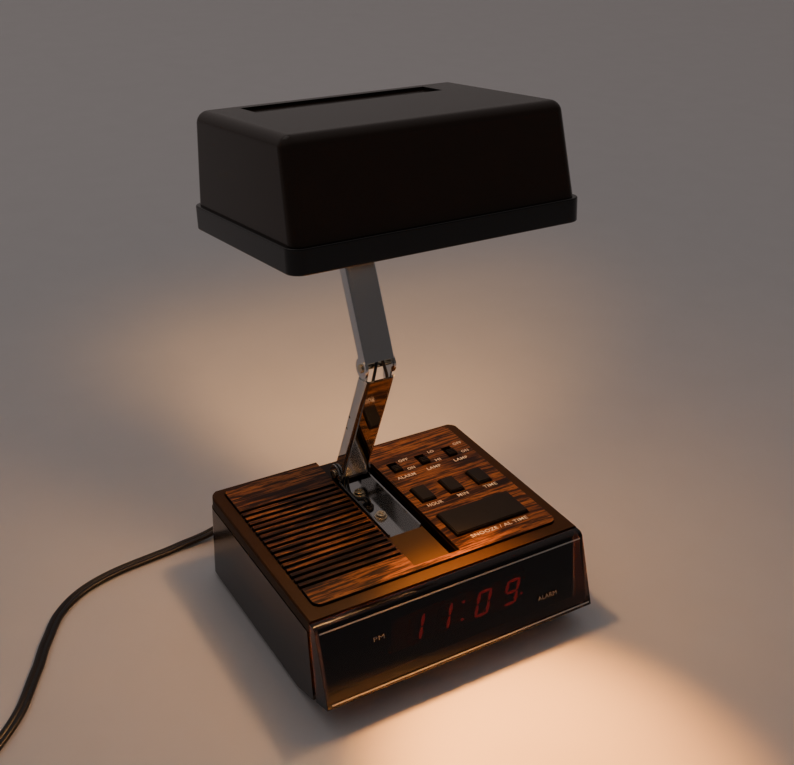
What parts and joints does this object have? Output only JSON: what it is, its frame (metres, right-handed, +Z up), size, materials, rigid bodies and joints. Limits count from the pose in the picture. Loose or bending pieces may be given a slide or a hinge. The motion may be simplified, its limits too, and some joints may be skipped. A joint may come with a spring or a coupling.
{
  "type": "alarm clock lamp",
  "caption": "Clock base with a sloping lit display, buttons, slide switches and a folding linked arm that carries a box-shaped reading lamp shade.",
  "frame": {"origin": "table level under the middle of the object's bounding box without its cord", "axes": "+Z up, -Y towards the side with the display, +X to the right as seen from that side"},
  "size_m": [0.4265, 0.2449, 0.2799],
  "materials": {
    "dark_casing": "glossy dark brown moulding",
    "brown_casing": "satin warm brown moulding",
    "woodgrain": "printed woodgrain film, satin",
    "smoked_lens": "clear smoked brown, polished",
    "black_plastic": "matt black",
    "red_digits": "lit red segments",
    "circuit_board": "varnished board",
    "board_components": "moulded components",
    "zinc_screws": "zinc plated",
    "switch_cans": "tinned sheet",
    "lead_insulation": "satin black insulation",
    "iron_core": "dull grey",
    "copper_winding": "varnished winding",
    "paper_cone": "pressed paper",
    "black_rubber": "matt rubber",
    "chrome_plate": "bright chrome",
    "cord_rubber": "satin dark brown insulation",
    "prong_brass": "stamped brass",
    "brown_shade": "glossy dark brown moulding",
    "black_rim": "glossy black moulding",
    "reflector_aluminium": "bright inner face",
    "socket_plastic": "cream moulding",
    "cap_brass": "screw cap",
    "bulb_glass": "frosted glass",
    "key_plastic": "satin near black moulding"
  },
  "bodies": {
    "base": {"lower_case": "dark_casing", "upper_case": "brown_casing", "woodgrain_panel": "woodgrain", "front_lens": "smoked_lens", "display_frame": "black_plastic", "led_display": "black_plastic", "display_digits": "red_digits", "main_board": "circuit_board", "board_parts": "board_components", "board_screws": "zinc_screws", "switch_board": "circuit_board", "key_switches": "black_plastic", "slide_switches": "switch_cans", "switch_board_screws": "zinc_screws", "inner_leads": "lead_insulation", "transformer_core": "iron_core", "transformer_coil": "copper_winding", "transformer_clamp": "switch_cans", "speaker_basket": "switch_cans", "speaker_magnet": "iron_core", "speaker_cone": "paper_cone", "rubber_feet": "black_rubber", "case_screws": "zinc_screws", "arm_tray": "chrome_plate", "tray_screws": "chrome_plate", "lead_bushing": "black_plastic", "base_hinge_pin": "chrome_plate", "base_leads": "lead_insulation", "cord_grip": "cord_rubber", "power_cord": "cord_rubber", "cord_coil": "cord_rubber", "cord_tie": "black_plastic", "plug_body": "cord_rubber", "plug_prongs": "prong_brass"},
    "lower_arm_body": {"lower_arm": "chrome_plate", "elbow_pin": "chrome_plate", "elbow_nut": "zinc_screws", "lower_arm_leads": "lead_insulation"},
    "upper_arm_body": {"upper_arm": "chrome_plate", "upper_arm_leads": "lead_insulation"},
    "shade_body": {"shade_bracket": "chrome_plate", "shade_hinge_pin": "chrome_plate", "bracket_screws": "zinc_screws", "shade": "brown_shade", "shade_rim": "black_rim", "reflector": "reflector_aluminium", "reflector_screws": "zinc_screws", "lamp_socket": "socket_plastic", "bulb_cap": "cap_brass", "bulb_glass": "bulb_glass", "shade_leads": "lead_insulation"},
    "hour_button_body": {"hour_button": "key_plastic"},
    "minute_button_body": {"minute_button": "key_plastic"},
    "time_button_body": {"time_button": "key_plastic"},
    "snooze_button_body": {"snooze_button": "key_plastic"},
    "alarm_slider_body": {"alarm_slider": "key_plastic"},
    "brightness_slider_body": {"brightness_slider": "key_plastic"},
    "lamp_slider_body": {"lamp_slider": "key_plastic"}
  },
  "joints": [
    {"name": "base_hinge", "type": "hinge", "parent": "base", "child": "lower_arm_body", "pos_m": [-0.0038, 0.04075, 0.0594], "axis": [1, 0, 0], "range_deg": [-20, 70]},
    {"name": "elbow_hinge", "type": "hinge", "parent": "lower_arm_body", "child": "upper_arm_body", "pos_m": [-0.0038, 0.01682, 0.13944], "axis": [-1, 0, 0], "range_deg": [-43, 110]},
    {"name": "shade_tilt", "type": "hinge", "parent": "upper_arm_body", "child": "shade_body", "pos_m": [-0.0038, 0.05446, 0.21826], "axis": [1, 0, 0], "range_deg": [-45, 58]},
    {"name": "hour_press", "type": "slide", "parent": "base", "child": "hour_button_body", "axis": [0, 0, -1], "range_m": [0, 0.0015], "stiffness_N_per_m": 400, "springref_m": -0.0015},
    {"name": "minute_press", "type": "slide", "parent": "base", "child": "minute_button_body", "axis": [0, 0, -1], "range_m": [0, 0.0015], "stiffness_N_per_m": 400, "springref_m": -0.0015},
    {"name": "time_press", "type": "slide", "parent": "base", "child": "time_button_body", "axis": [0, 0, -1], "range_m": [0, 0.0015], "stiffness_N_per_m": 400, "springref_m": -0.0015},
    {"name": "snooze_press", "type": "slide", "parent": "base", "child": "snooze_button_body", "axis": [0, 0, -1], "range_m": [0, 0.0015], "stiffness_N_per_m": 400, "springref_m": -0.0015},
    {"name": "alarm_switch", "type": "slide", "parent": "base", "child": "alarm_slider_body", "axis": [0, 1, 0], "range_m": [0, 0.0044]},
    {"name": "brightness_switch", "type": "slide", "parent": "base", "child": "brightness_slider_body", "axis": [0, 1, 0], "range_m": [0, 0.0044]},
    {"name": "lamp_switch", "type": "slide", "parent": "base", "child": "lamp_slider_body", "axis": [0, 1, 0], "range_m": [0, 0.0044]}
  ]
}
